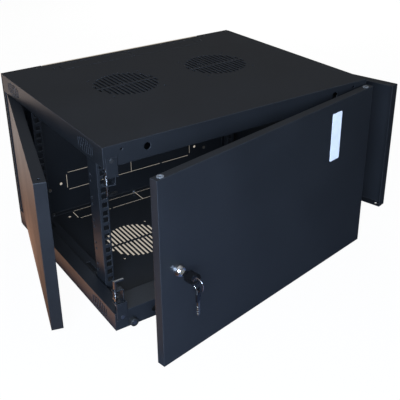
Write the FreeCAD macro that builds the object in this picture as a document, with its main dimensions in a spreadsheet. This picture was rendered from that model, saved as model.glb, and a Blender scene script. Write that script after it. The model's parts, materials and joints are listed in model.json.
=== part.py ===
import FreeCAD, Part
import os
import re
import Sketcher

# Wall mount network cabinet, 6 units high, of folded sheet steel.
# Frame: X to the right, Y to the back, Z up, millimetres.
# Origin: centre of the underside of the bottom panel.

SIZES = {
    "cabinet_width": 540,
    "cabinet_depth": 434,
    "rack_units": 6,
    "unit_pitch": 44.45,
    "bay_clearance": 0.3,
    "skirt_height": 34.5,
    "panel_sheet": 1.2,
    "fit_gap": 0.3,
    "front_ledge": 49.4,
    "side_ledge": 24.5,
    "shelf_drop": 10,
    "shelf_edge": 50,
    "rail_spacing": 465.1,
    "rail_steel": 1.5,
    "rail_face": 17.5,
    "rail_flange": 35,
    "rail_inner_margin": 7.5,
    "rail_setback": 87,
    "rear_rail_margin": 64,
    "rack_hole": 9.5,
    "flange_hole": 5,
    "flange_hole_back": 26.5,
    "foot_start": 13,
    "foot_length": 46,
    "bolt_diameter": 6,
    "slot_width": 6.6,
    "slot_length": 88,
    "vent_radius": 62,
    "vent_spacing": 200,
    "vent_back": 23,
    "vent_slots": 14,
    "vent_slot_width": 4.6,
    "vent_web": 5,
    "fan_screw_square": 105,
    "fan_screw_hole": 4.5,
    "knockout_width": 158,
    "knockout_depth": 37.5,
    "knockout_margin": 12.5,
    "knockout_slot": 1.3,
    "knockout_bridge": 2.5,
    "cable_hole": 6,
    "small_screw": 4,
    "screw_play": 0.2,
    "side_vent_length": 57,
    "side_vent_height": 24,
    "side_vent_margin": 59,
    "side_vent_slots": 8,
    "side_vent_slot": 3.6,
    "skirt_hole": 12,
    "skirt_hole_inset": 76.5,
    "skirt_hole_rise": 15.7,
    "rear_sheet": 1.2,
    "rear_flange": 12,
    "rear_knockout_rise": 50,
    "wall_hole": 8,
    "wall_hole_spacing": 400,
    "wall_hole_rise": 60,
    "door_sheet": 1.2,
    "front_door_width": 528,
    "front_door_thickness": 14.8,
    "front_door_stand_off": 9.5,
    "front_door_gap": 6,
    "pin_inset": 13,
    "pin_diameter": 5,
    "running_clearance": 0.05,
    "side_door_thickness": 19.5,
    "side_door_gap": 1.5,
    "side_door_rear_gap": 5,
    "side_door_reveal": 0.5,
    "ledge_pin_inset": 10.2,
    "front_door_angle": 11.6,
    "left_door_angle": 14.8,
    "right_door_angle": 15,
    "bush_diameter": 8,
    "bush_flange": 11,
    "bush_length": 5,
    "bracket_steel": 1.5,
    "bracket_start": 18.5,
    "bracket_height": 33.5,
    "bracket_offset": 11.7,
    "bracket_reach": 23.5,
    "bracket_margin": 3.5,
    "bracket_screw_inset": 13.5,
    "bracket_screw_rise": 24,
    "tab_reach": 4.2,
    "pin_length": 49.5,
    "collar_diameter": 8.4,
    "collar_height": 2,
    "lever_length": 17,
    "lever_width": 4,
    "lever_thickness": 2.4,
    "spring_diameter": 8,
    "pin_travel": 10,
    "latch_travel": 7,
    "latch_depth": 3,
    "lock_inset": 34.5,
    "lock_rise": 170,
    "lock_barrel": 17,
    "lock_ring": 21,
    "lock_ring_height": 9,
    "lock_length": 27.6,
    "plug_diameter": 11,
    "key_width": 8,
    "key_thickness": 2,
    "key_blade": 24,
    "key_shoulder": 4,
    "key_turn": 60,
    "bow_length": 30,
    "bow_height": 18.5,
    "bow_thickness": 4,
    "bow_hole": 10.2,
    "bow_hole_margin": 7.8,
    "ring_wire": 1.6,
    "ring_radius": 10.4,
    "ring_play": 0.25,
    "spare_turn": 25,
    "spare_hole": 6,
    "spare_play": 0.75,
    "spare_width": 16,
    "spare_thickness": 2.6,
    "bumper_diameter": 15,
    "bumper_inset": 32,
    "bumper_rise": 9,
}

doc = FreeCAD.newDocument("WallCabinet")
sheet = doc.addObject("Spreadsheet::Sheet", "Sizes")
for row, (word, number) in enumerate(SIZES.items(), start=1):
    sheet.set("A%d" % row, word)
    sheet.set("B%d" % row, str(number))
    sheet.setAlias("B%d" % row, word)
doc.recompute()

NODES = []


def size(formula):
    """Value of a formula written with the sheet's words."""
    return float(sheet.evalExpression(formula))


def bound(formula):
    """The same formula, as another object of the document reads it."""
    return re.sub("[a-z_]+", lambda word: "Sizes." + word[0] if word[0] in SIZES else word[0], formula)


def bind(item, prop, formula):
    item.setExpression(prop, bound(formula))


def node(item, name):
    """Registers a finished sub-part under its node name."""
    item.Label = name
    NODES.append(item)
    return item


def place(item, across="0", back="0", up="0"):
    bind(item, "Placement.Base.x", across)
    bind(item, "Placement.Base.y", back)
    bind(item, "Placement.Base.z", up)


def turn(item, axis, angle):
    """Turns an item about its own origin; the angle is a formula in degrees."""
    base = item.Placement.Base
    item.Placement = FreeCAD.Placement(base, FreeCAD.Rotation(FreeCAD.Vector(*axis), 1))
    bind(item, "Placement.Rotation.Angle", angle)


def new_body(name):
    return doc.addObject("PartDesign::Body", name)


def origin_plane(body, role):
    return next(item for item in body.Origin.OriginFeatures if item.Role == role)


def sketch_on(body, name, role="XY_Plane", offset="0"):
    """Sketch on one of the body's own planes, moved along the plane's normal."""
    sketch = body.newObject("Sketcher::SketchObject", name)
    sketch.AttachmentSupport = [(origin_plane(body, role), "")]
    sketch.MapMode = "FlatFace"
    if offset != "0":
        bind(sketch, "AttachmentOffset.Base.z", offset)
    return sketch


def pin_point(sketch, index, end, across, up):
    """Ties a sketch point to the origin with two bound distances."""
    for kind, formula in (("DistanceX", across), ("DistanceY", up)):
        number = size(formula)
        slot = sketch.addConstraint(Sketcher.Constraint(kind, -1, 1, index, end, number))
        bind(sketch, "Constraints[%d]" % slot, formula)


def outline(sketch, points):
    """Closed outline through points given as pairs of formulas."""
    spots = [FreeCAD.Vector(size(across), size(up), 0) for across, up in points]
    first = sketch.GeometryCount
    lines = [Part.LineSegment(spots[i], spots[(i + 1) % len(spots)]) for i in range(len(spots))]
    sketch.addGeometry(lines, False)
    joints = []
    for i in range(len(spots)):
        joints.append(Sketcher.Constraint("Coincident", first + i, 2, first + (i + 1) % len(spots), 1))
    sketch.addConstraint(joints)
    for i, (across, up) in enumerate(points):
        pin_point(sketch, first + i, 1, across, up)


def rectangle(sketch, left, right, low, high):
    outline(sketch, [(left, low), (right, low), (right, high), (left, high)])


def circle(sketch, across, up, diameter):
    spot = FreeCAD.Vector(size(across), size(up), 0)
    index = sketch.addGeometry(Part.Circle(spot, FreeCAD.Vector(0, 0, 1), size(diameter) / 2), False)
    pin_point(sketch, index, 3, across, up)
    slot = sketch.addConstraint(Sketcher.Constraint("Diameter", index, size(diameter)))
    bind(sketch, "Constraints[%d]" % slot, diameter)


def polygon(sketch, across, up, width, sides=8):
    """Regular polygon that stands outside a circle of the given width."""
    corner = "(%s) / 2 / cos(%s)" % (width, 180 / sides)
    outline(sketch, [("%s + %s * cos(%s)" % (across, corner, 360 * (i + 0.5) / sides),
                      "%s + %s * sin(%s)" % (up, corner, 360 * (i + 0.5) / sides)) for i in range(sides)])


def pad(body, sketch, length, reverse=False, both=False):
    feature = body.newObject("PartDesign::Pad", sketch.Name + "Pad")
    feature.Profile = sketch
    bind(feature, "Length", length)
    feature.Reversed = reverse
    feature.Midplane = both
    return feature


def pocket(body, sketch, depth=None, reverse=False, both=False):
    """Cut by a depth, or through all when none is given; stops the build if it cuts nothing."""
    doc.recompute()
    for item in body.Group:
        if "Invalid" in item.State:
            raise RuntimeError("%s: %s" % (item.Name, item.getStatusString()))
    before = body.Shape.Volume
    feature = body.newObject("PartDesign::Pocket", sketch.Name + "Pocket")
    feature.Profile = sketch
    if depth is None:
        feature.Type = "ThroughAll"
    else:
        bind(feature, "Length", depth)
    feature.Reversed = reverse
    feature.Midplane = both
    doc.recompute()
    if body.Shape.Volume > before - 0.01:
        raise RuntimeError(feature.Name + " cuts nothing")
    return feature


def mirrored(body, features, role="YZ_Plane"):
    feature = body.newObject("PartDesign::Mirrored", body.Name + "Mirror" + str(len(body.Group)))
    feature.Originals = features
    feature.MirrorPlane = (origin_plane(body, role), [""])
    body.Tip = feature
    return feature


def repeated(body, features, axis, length, count):
    feature = body.newObject("PartDesign::LinearPattern", body.Name + "Row" + str(len(body.Group)))
    feature.Originals = features
    feature.Direction = (origin_plane(body, axis), [""])
    bind(feature, "Length", length)
    bind(feature, "Occurrences", count)
    body.Tip = feature
    return feature


# Places that several pieces share.
HALF_WIDTH = "cabinet_width / 2"
FRONT = "(-cabinet_depth / 2)"
REAR = "(cabinet_depth / 2)"
HEIGHT = "(rack_units * unit_pitch + bay_clearance + 2 * skirt_height)"
RAIL_X = "(rail_spacing / 2)"
SHELF_TOP = "(skirt_height - shelf_drop)"
DOOR_LOW = "(front_door_gap + 1)"
DOOR_HEIGHT = "(%s - 2 * (front_door_gap + 1))" % HEIGHT
DOOR_BACK = "(%s - front_door_stand_off)" % FRONT
PIN_Y = "(%s - front_door_thickness / 2)" % DOOR_BACK
PIN_X = "(front_door_width / 2 - pin_inset)"
SIDE_LOW = "(skirt_height + side_door_gap)"
SIDE_HEIGHT = "(%s - 2 * (skirt_height + side_door_gap))" % HEIGHT
SIDE_LENGTH = "(cabinet_depth - side_door_gap - side_door_rear_gap)"
SIDE_PIN_X = "(cabinet_width / 2 - ledge_pin_inset)"
SIDE_PIN_Y = "(%s - side_door_rear_gap - pin_inset)" % REAR
LATCH_Y = "(%s + side_door_gap + pin_inset)" % FRONT
PIN_TIP = "(skirt_height - latch_depth)"
CABLE_X = "(knockout_width + 15)"
REAR_SCREWS = ("-200", "0", "200")
REAR_SCREW_Y = "(%s - rear_sheet - rear_flange / 2)" % REAR
TAB_LOW = "14"
TAB_HIGH = "38"
TAB_HALF = "6"
FREE = "0.25"


def sheet_pan(name):
    """Floor pan with skirts, ledges, shelves, vents and knock-outs; the roof is the same pressing."""
    body = new_body(name)
    sides = sketch_on(body, name + "Section", "XZ_Plane", "-(%s + front_ledge)" % FRONT)
    inner = "cabinet_width / 2 - side_ledge"
    right = [
        (HALF_WIDTH, "0"),
        (HALF_WIDTH, "skirt_height"),
        (inner, "skirt_height"),
        (inner, SHELF_TOP),
        ("cabinet_width / 2 - shelf_edge", SHELF_TOP),
        ("cabinet_width / 2 - shelf_edge", SHELF_TOP + " - panel_sheet"),
        (inner + " + panel_sheet", SHELF_TOP + " - panel_sheet"),
        (inner + " + panel_sheet", "skirt_height - panel_sheet"),
        ("cabinet_width / 2 - panel_sheet", "skirt_height - panel_sheet"),
        ("cabinet_width / 2 - panel_sheet", "panel_sheet"),
    ]
    left = [("-(" + across + ")", up) for across, up in reversed(right)]
    outline(sides, right + left)
    pad(body, sides, "cabinet_depth - front_ledge - rear_sheet - fit_gap", reverse=True)
    floor = sketch_on(body, name + "Sheet")
    rectangle(floor, "-" + HALF_WIDTH, HALF_WIDTH, FRONT, REAR)
    pad(body, floor, "panel_sheet")
    front = sketch_on(body, name + "Front", "YZ_Plane")
    outline(front, [
        (FRONT, "0"),
        (FRONT, "skirt_height"),
        (FRONT + " + front_ledge", "skirt_height"),
        (FRONT + " + front_ledge", "skirt_height - panel_sheet"),
        (FRONT + " + panel_sheet", "skirt_height - panel_sheet"),
        (FRONT + " + panel_sheet", "0"),
    ])
    pad(body, front, "cabinet_width", both=True)
    cheek = sketch_on(body, name + "Cheek", "YZ_Plane", "cabinet_width / 2 - panel_sheet")
    rectangle(cheek, FRONT, REAR + " - rear_sheet - fit_gap", "0", "skirt_height")
    cheek_pad = pad(body, cheek, "panel_sheet")
    mirrored(body, [cheek_pad])

    # Fan vent: parallel slots that end on a circle, split by a web across the middle.
    vent = sketch_on(body, name + "Vent")
    centre = "(vent_spacing / 2)"
    count = int(size("vent_slots"))
    for slot in range(count):
        offset = "((%d - (vent_slots - 1) / 2) * 2 * vent_radius / vent_slots)" % slot
        reach = "sqrt(vent_radius ^ 2 - (abs(%s) + vent_slot_width / 2) ^ 2)" % offset
        left_edge = "%s + %s - vent_slot_width / 2" % (centre, offset)
        right_edge = "%s + %s + vent_slot_width / 2" % (centre, offset)
        rectangle(vent, left_edge, right_edge, "vent_back + vent_web / 2", "vent_back + " + reach)
        rectangle(vent, left_edge, right_edge, "vent_back - " + reach, "vent_back - vent_web / 2")
    half = "fan_screw_square / 2"
    for across in ("-", "+"):
        for back in ("-", "+"):
            circle(vent, "%s %s %s" % (centre, across, half), "vent_back %s %s" % (back, half),
                   "fan_screw_hole")
    vent_cut = pocket(body, vent, "panel_sheet", reverse=True)

    # Knock-outs at the rear edge: each outlined by slots that leave small bridges.
    cable = sketch_on(body, name + "Cable")
    low = REAR + " - knockout_margin - knockout_depth"
    high = REAR + " - knockout_margin"
    knockout_slots(cable, low, high)
    polygon(cable, CABLE_X, "%s + knockout_depth / 2" % low, "cable_hole")
    cable_cut = pocket(body, cable, "panel_sheet", reverse=True)

    # Side vents: rows of upright slots whose ends follow an oval.
    grille = sketch_on(body, name + "Grille", "YZ_Plane", "cabinet_width / 2")
    for end in (FRONT + " + side_vent_margin", REAR + " - side_vent_margin"):
        for slot in range(int(size("side_vent_slots"))):
            offset = "((%d - (side_vent_slots - 1) / 2) * side_vent_length / side_vent_slots)" % slot
            reach = "side_vent_height / 2 * sqrt(1 - (%s / (side_vent_length / 2 + 3)) ^ 2)" % offset
            rectangle(grille, "%s + %s - side_vent_slot / 2" % (end, offset),
                      "%s + %s + side_vent_slot / 2" % (end, offset),
                      "skirt_height / 2 - " + reach, "skirt_height / 2 + " + reach)
    grille_cut = pocket(body, grille, "panel_sheet * 2")

    # Front skirt: plain holes, bumper hole and bracket screw hole on each side.
    skirt = sketch_on(body, name + "Skirt", "XZ_Plane", "-" + FRONT)
    circle(skirt, "cabinet_width / 2 - skirt_hole_inset", "skirt_hole_rise", "skirt_hole")
    polygon(skirt, "cabinet_width / 2 - bumper_inset", "bumper_rise", "small_screw + screw_play")
    polygon(skirt, "cabinet_width / 2 - bracket_screw_inset", "bracket_screw_rise", "small_screw + screw_play")
    skirt_cut = pocket(body, skirt, "panel_sheet * 2")

    # Ledges: holes for the side door pins, slots for the rail bolts.
    ledge = sketch_on(body, name + "Ledge", "XY_Plane", "skirt_height")
    hole = "pin_diameter + 2 * running_clearance"
    circle(ledge, SIDE_PIN_X, SIDE_PIN_Y, hole)
    circle(ledge, SIDE_PIN_X, LATCH_Y, hole)
    for start in (FRONT + " + front_ledge + 45.6", REAR + " - slot_length - 5"):
        rectangle(ledge, RAIL_X + " - slot_width / 2", RAIL_X + " + slot_width / 2",
                  start, start + " + slot_length")
    ledge_cut = pocket(body, ledge, "shelf_drop + 2 * panel_sheet")
    mirrored(body, [vent_cut, cable_cut, grille_cut, skirt_cut, ledge_cut])

    # Clearance holes for the rear panel's screws.
    screw = sketch_on(body, name + "Screw")
    for across in REAR_SCREWS:
        polygon(screw, across, REAR_SCREW_Y, "small_screw + screw_play")
    pocket(body, screw, "panel_sheet", reverse=True)
    return node(body, name)


def knockout_slots(sketch, low, high):
    """Slots around the right-hand knock-out of a pair, with half of the slot between the two.
    Bridges at mid-length and at the far corners hold the knock-out in the sheet."""
    wide = "knockout_width"
    thin = "knockout_slot"
    near_end = "%s / 2 - knockout_bridge" % wide
    outline(sketch, [
        ("0", low), (near_end, low), (near_end, "%s + %s" % (low, thin)),
        (thin + " / 2", "%s + %s" % (low, thin)), (thin + " / 2", "%s - %s" % (high, thin)),
        (near_end, "%s - %s" % (high, thin)), (near_end, high), ("0", high)])
    for edge in (low, "%s - %s" % (high, thin)):
        rectangle(sketch, "%s / 2 + knockout_bridge" % wide, "%s - knockout_bridge" % wide,
                  edge, "%s + %s" % (edge, thin))
    rectangle(sketch, wide, "%s + %s" % (wide, thin), "%s + 2 * knockout_bridge" % low,
              "%s - 2 * knockout_bridge" % high)


def roof(floor):
    """The floor's pressing turned over."""
    link = doc.addObject("App::Link", "top_panel")
    link.LinkedObject = floor
    turn(link, (0, 1, 0), "180")
    place(link, up=HEIGHT)
    return node(link, "top_panel")


roof(sheet_pan("bottom_panel"))


def rear_panel():
    body = new_body("rear_panel")
    low = "panel_sheet"
    high = HEIGHT + " - panel_sheet"
    wide = "cabinet_width / 2 - panel_sheet - fit_gap"
    plate = sketch_on(body, "RearPlate", "XZ_Plane", "-" + REAR)
    rectangle(plate, "-(%s)" % wide, wide, low, high)
    pad(body, plate, "rear_sheet")
    flange = sketch_on(body, "RearFlange", "YZ_Plane")
    inner = REAR + " - rear_flange - rear_sheet"
    rectangle(flange, inner, REAR, low, low + " + rear_sheet")
    rectangle(flange, inner, REAR, high + " - rear_sheet", high)
    pad(body, flange, "cabinet_width - 100", both=True)
    cable = sketch_on(body, "RearCable", "XZ_Plane", "-" + REAR)
    low_edge = "rear_knockout_rise"
    knockout_slots(cable, low_edge, "rear_knockout_rise + knockout_depth + 4.5")
    polygon(cable, CABLE_X, "rear_knockout_rise + knockout_depth / 2", "cable_hole")
    circle(cable, "wall_hole_spacing / 2", "wall_hole_rise", "wall_hole")
    circle(cable, "wall_hole_spacing / 2", HEIGHT + " - wall_hole_rise", "wall_hole")
    cut = pocket(body, cable, "rear_sheet * 2", both=True)
    mirrored(body, [cut])
    screw = sketch_on(body, "RearScrew")
    for across in REAR_SCREWS:
        polygon(screw, across, REAR_SCREW_Y, "small_screw + screw_play")
    pocket(body, screw, reverse=True)
    return node(body, "rear_panel")


rear_panel()


def revolve(body, name, steps, role="XZ_Plane"):
    """Turned piece from (radius, height) formulas, about the body's Z axis."""
    sketch = sketch_on(body, name, role)
    outline(sketch, steps)
    feature = body.newObject("PartDesign::Revolution", name + "Turn")
    feature.Profile = sketch
    feature.ReferenceAxis = (sketch, ["V_Axis"])
    feature.Angle = 360
    return feature


def copies(name, piece, spots):
    """Group of like solids: linked copies of one piece, fused side by side in a compound."""
    items = []
    for index, (across, back, up, turns) in enumerate(spots):
        item = doc.addObject("App::Link", "%s%d" % (name, index))
        item.LinkedObject = piece
        if turns:
            turn(item, *turns)
        place(item, across, back, up)
        items.append(item)
    group = doc.addObject("Part::Compound", name)
    group.Links = items
    return node(group, name)


def screw_body(name, shank, length, head, head_height, sides):
    """Screw with its head upward and the seat of the head at its origin."""
    body = new_body(name)
    thread = sketch_on(body, name + "Shank")
    polygon(thread, "0", "0", shank)
    pad(body, thread, length, reverse=True)
    cap = sketch_on(body, name + "Head")
    polygon(cap, "0", "0", head, sides)
    pad(body, cap, head_height)
    return body


def rear_panel_screws():
    piece = screw_body("FlangeScrew", "small_screw", "panel_sheet + rear_sheet", "7", "2.4", 6)
    spots = []
    for across in REAR_SCREWS:
        spots.append((across, REAR_SCREW_Y, "panel_sheet + rear_sheet", None))
        spots.append((across, REAR_SCREW_Y, HEIGHT + " - panel_sheet - rear_sheet", ((0, 1, 0), "180")))
    return copies("rear_panel_screws", piece, spots)


rear_panel_screws()


def rail(name, side, face):
    """Rack rail: folded L with square holes in its face and bolted feet at both ends."""
    body = new_body(name)
    tall = "(%s - 2 * %s)" % (HEIGHT, SHELF_TOP)
    inner = "-rail_inner_margin"
    outer = "rail_face - rail_inner_margin"
    section = sketch_on(body, name + "Section")
    flip = "-" if side < 0 else ""
    points = [
        (inner, "0"), (outer, "0"), (outer, "rail_flange"), (outer + " - rail_steel", "rail_flange"),
        (outer + " - rail_steel", "rail_steel"), (inner, "rail_steel"),
    ]
    outline(section, [(flip + "(" + across + ")", back) for across, back in points])
    pad(body, section, tall)
    foot = sketch_on(body, name + "Foot")
    end = "foot_start + foot_length"
    outline(foot, [(flip + "(" + across + ")", back) for across, back in [
        (inner, "foot_start"), (outer, "foot_start"), (outer, end), (inner, end)]])
    foot_pad = pad(body, foot, "rail_steel")
    bolt = sketch_on(body, name + "Bolt")
    circle(bolt, "0", "foot_start + foot_length - 13", "slot_width")
    bolt_cut = pocket(body, bolt, "rail_steel", reverse=True)
    top = sketch_on(body, name + "TopFoot", "XY_Plane", tall)
    outline(top, [(flip + "(" + across + ")", back) for across, back in [
        (inner, "foot_start"), (outer, "foot_start"), (outer, end), (inner, end)]])
    pad(body, top, "rail_steel", reverse=True)
    top_bolt = sketch_on(body, name + "TopBolt", "XY_Plane", tall)
    circle(top_bolt, "0", "foot_start + foot_length - 13", "slot_width")
    pocket(body, top_bolt, "rail_steel")
    square = sketch_on(body, name + "Square", "XZ_Plane")
    start = "(shelf_drop + bay_clearance / 2 + 6.35)"
    for step in ("0", "15.875", "31.75"):
        middle = start + " + " + step
        rectangle(square, "-rack_hole / 2", "rack_hole / 2", middle + " - rack_hole / 2",
                  middle + " + rack_hole / 2")
    square_cut = pocket(body, square, "rail_steel")
    repeated(body, [square_cut], "XY_Plane", "(rack_units - 1) * unit_pitch", "rack_units")
    flange = sketch_on(body, name + "Flange", "YZ_Plane", flip + "(" + outer + ")")
    for rise in ("- 6.35", "+ 6.35"):
        polygon(flange, "flange_hole_back", start + " - 6.35 + unit_pitch / 2 " + rise, "flange_hole")
    flange_cut = pocket(body, flange, "rail_steel", reverse=side < 0)
    repeated(body, [flange_cut], "XY_Plane", "(rack_units - 1) * unit_pitch", "rack_units")
    place(body, "%d * %s" % (side, RAIL_X), face, SHELF_TOP)
    return node(body, name)


FRONT_FACE = FRONT + " + rail_setback"
REAR_FACE = REAR + " - rear_rail_margin"
rail("rail_front_left", -1, FRONT_FACE)
rail("rail_front_right", 1, FRONT_FACE)
rail("rail_rear_left", -1, REAR_FACE)
rail("rail_rear_right", 1, REAR_FACE)


def rail_fasteners():
    bolt = screw_body("RailBolt", "bolt_diameter", "rail_steel + panel_sheet + 6.5", "bolt_diameter * 1.67", "4", 6)
    nut = new_body("RailNut")
    ring = sketch_on(nut, "RailNutRing")
    polygon(ring, "0", "0", "bolt_diameter * 1.67", 6)
    polygon(ring, "0", "0", "bolt_diameter * 1.1")
    pad(nut, ring, "5", reverse=True)
    bolts, nuts = [], []
    for side in (-1, 1):
        for face in (FRONT_FACE, REAR_FACE):
            across = "%d * %s" % (side, RAIL_X)
            back = face + " + foot_start + foot_length - 13"
            bolts.append((across, back, SHELF_TOP + " + rail_steel", None))
            bolts.append((across, back, "%s - %s - rail_steel" % (HEIGHT, SHELF_TOP), ((0, 1, 0), "180")))
            nuts.append((across, back, SHELF_TOP + " - panel_sheet", None))
            nuts.append((across, back, "%s - %s + panel_sheet" % (HEIGHT, SHELF_TOP), ((0, 1, 0), "180")))
    copies("rail_bolts", bolt, bolts)
    copies("rail_nuts", nut, nuts)


rail_fasteners()


def corner_bracket(name, side, upside_down):
    """Bracket at a front corner of the cabinet, folded from one sheet: a leg on the skirt and a
    wall above the ledge with two tabs for the side door's latch pin. On the hinge side it also
    has a wall in front with two tabs for the front door's pin.
    Its origin is the corner itself; 'across' runs from the cabinet's side towards the middle."""
    body = new_body(name)
    hand = side if not upside_down else -side
    flip = "-" if hand > 0 else ""
    leg_top = "(bracket_start + bracket_height)"
    door_pin = "(cabinet_width / 2 - %s)" % PIN_X
    door_pin_back = "-(front_door_stand_off + front_door_thickness / 2)"
    latch_back = "(side_door_gap + pin_inset)"
    wall = "(%s + bracket_offset)" % door_pin

    def handed(points):
        return [(flip + "(" + across + ")", back) for across, back in points]

    leg = sketch_on(body, name + "Leg", "XY_Plane", "bracket_start")
    margin = "bracket_margin"
    if side > 0:
        tip = door_pin_back + " - tab_reach"
        outline(leg, handed([
            (margin, "0"), (wall, "0"), (wall, tip), (wall + " - bracket_steel", tip),
            (wall + " - bracket_steel", "-bracket_steel"), (margin, "-bracket_steel")]))
    else:
        outline(leg, handed([
            (margin, "0"), ("bracket_reach", "0"), ("bracket_reach", "-bracket_steel"), (margin, "-bracket_steel")]))
    pad(body, leg, "bracket_height")
    if side > 0:
        for label, rise in (("Low", TAB_LOW), ("High", TAB_HIGH)):
            tab = sketch_on(body, name + label + "Tab", "XY_Plane", "front_door_gap + " + rise)
            outline(tab, handed([
                (wall, door_pin_back + " - tab_reach"), (door_pin + " - tab_reach", door_pin_back + " - tab_reach"),
                (door_pin + " - tab_reach", door_pin_back + " + tab_reach"),
                (wall, door_pin_back + " + tab_reach + 4")]))
            circle(tab, flip + door_pin, door_pin_back, "pin_diameter + 2 * running_clearance")
            pad(body, tab, "bracket_steel")

    back_wall = sketch_on(body, name + "Wall", "YZ_Plane", flip + "bracket_reach")
    wall_top = "(%s + %s + bracket_steel)" % (PIN_TIP, TAB_HIGH)
    outline(back_wall, [
        ("-bracket_steel", "skirt_height"), (latch_back + " + " + TAB_HALF, "skirt_height"),
        (latch_back + " + " + TAB_HALF, wall_top), (latch_back + " - " + TAB_HALF, wall_top),
        (latch_back + " - " + TAB_HALF, leg_top), ("-bracket_steel", leg_top)])
    pad(body, back_wall, "bracket_steel", reverse=hand < 0)
    for label, rise in (("Low", TAB_LOW), ("High", TAB_HIGH)):
        tab = sketch_on(body, name + label + "LatchTab", "XY_Plane", "%s + %s" % (PIN_TIP, rise))
        outline(tab, handed([
            ("bracket_reach", latch_back + " - " + TAB_HALF), ("ledge_pin_inset - 4.5", latch_back + " - 4.5"),
            ("ledge_pin_inset - 4.5", latch_back + " + 4.5"), ("bracket_reach", latch_back + " + " + TAB_HALF)]))
        circle(tab, flip + "ledge_pin_inset", latch_back, "pin_diameter + 2 * running_clearance")
        pad(body, tab, "bracket_steel")
    screw = sketch_on(body, name + "Screw", "XZ_Plane")
    polygon(screw, flip + "bracket_screw_inset", "bracket_screw_rise", "small_screw + screw_play")
    pocket(body, screw, "bracket_steel", reverse=True)
    if upside_down:
        turn(body, (0, 1, 0), "180")
    place(body, "%d * cabinet_width / 2" % side, FRONT, HEIGHT if upside_down else "0")
    return node(body, name)


CORNERS = [("left_bottom", -1, False), ("right_bottom", 1, False), ("left_top", -1, True), ("right_top", 1, True)]
for corner, side, upside_down in CORNERS:
    corner_bracket("hinge_bracket_" + corner, side, upside_down)


def bracket_screws():
    """Flat head screws through bracket and skirt; their heads stay as thin discs on the leg."""
    length = "bracket_steel + panel_sheet + 4"
    body = screw_body("BracketScrew", "small_screw", length, "7.2", "0.35", 16)
    spots = []
    for side in (-1, 1):
        for up in ("bracket_screw_rise", HEIGHT + " - bracket_screw_rise"):
            across = "%d * (cabinet_width / 2 - bracket_screw_inset)" % side
            spots.append((across, FRONT + " - bracket_steel", up, ((1, 0, 0), "90")))
    return copies("hinge_bracket_screws", body, spots)


bracket_screws()


def spring_pin(name, heading):
    """Pin with a collar and a finger lever: tip at the origin, shaft upward.
    The heading, such as "-X", is the way that the lever points."""
    body = new_body(name)
    revolve(body, name + "Shaft", [
        ("0", "0"), ("pin_diameter / 2 - 1", "0"), ("pin_diameter / 2", "1.5"),
        ("pin_diameter / 2", "pin_length"), ("0", "pin_length"),
    ])
    collar = sketch_on(body, name + "Collar", "XY_Plane", TAB_LOW + " + bracket_steel + " + FREE)
    polygon(collar, "0", "0", "collar_diameter")
    pad(body, collar, "collar_height")
    lever = sketch_on(body, name + "Lever", "XY_Plane", "pin_length")
    half = "lever_width / 2"
    shape = [("-1", "-" + half), ("-1", half), ("lever_length - 1", half), ("lever_length", "0"),
             ("lever_length - 1", "-" + half)]
    sign = heading[0]
    if heading[1] == "X":
        outline(lever, [("%s(%s)" % (sign, along), across) for along, across in shape])
    else:
        outline(lever, [(across, "%s(%s)" % (sign, along)) for along, across in shape])
    pad(body, lever, "lever_thickness", reverse=True)
    return body


def spring_sleeve(name, squeeze):
    """Coil spring as the sleeve that its turns fill."""
    body = new_body(name)
    start = TAB_LOW + " + bracket_steel + 2 * %s + collar_height + %s" % (FREE, squeeze)
    sketch = sketch_on(body, name + "Ring", "XY_Plane", start)
    polygon(sketch, "0", "0", "spring_diameter")
    polygon(sketch, "0", "0", "pin_diameter + 0.4")
    pad(body, sketch, "%s - %s - (%s)" % (TAB_HIGH, FREE, start))
    return body


def set_pin(name, spring_name, across, back, up, upside_down, side, lift="0"):
    """Places a pin and its spring; lift is how far the pin is drawn back."""
    inboard = "-X" if (side > 0) != upside_down else "+X"
    pin_body = spring_pin(name, inboard)
    spring_body = spring_sleeve(spring_name, lift)
    if upside_down:
        turn(pin_body, (0, 1, 0), "180")
        turn(spring_body, (0, 1, 0), "180")
        place(pin_body, across, back, "%s - (%s) - (%s)" % (HEIGHT, up, lift))
        place(spring_body, across, back, "%s - (%s)" % (HEIGHT, up))
    else:
        place(pin_body, across, back, "%s + %s" % (up, lift))
        place(spring_body, across, back, up)
    node(pin_body, name)
    node(spring_body, spring_name)


for corner, side, upside_down in CORNERS:
    if side > 0:
        set_pin("hinge_pin_" + corner, "hinge_spring_" + corner, "%d * %s" % (side, PIN_X), PIN_Y,
                "front_door_gap", upside_down, side)
    set_pin("side_latch_pin_" + corner, "side_latch_spring_" + corner, "%d * %s" % (side, SIDE_PIN_X), LATCH_Y,
            PIN_TIP, upside_down, side, "latch_travel")


def door_pan(name, left, right, front, back, low, tall, opening):
    """Folded pan from a block that is hollowed from its open side ('back', 'left' or 'right')."""
    body = new_body(name)
    block = sketch_on(body, name + "Block", "XY_Plane", low)
    rectangle(block, left, right, front, back)
    pad(body, block, tall)
    hollow = sketch_on(body, name + "Hollow", "XY_Plane", low + " + door_sheet")
    edges = {"left": left, "right": right, "front": front, "back": back}
    inner = {
        "left": left + " + door_sheet", "right": right + " - door_sheet",
        "front": front + " + door_sheet", "back": back + " - door_sheet",
    }
    inner[opening] = edges[opening]
    rectangle(hollow, inner["left"], inner["right"], inner["front"], inner["back"])
    pocket(body, hollow, tall + " - 2 * door_sheet", reverse=True)
    return body


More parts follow.
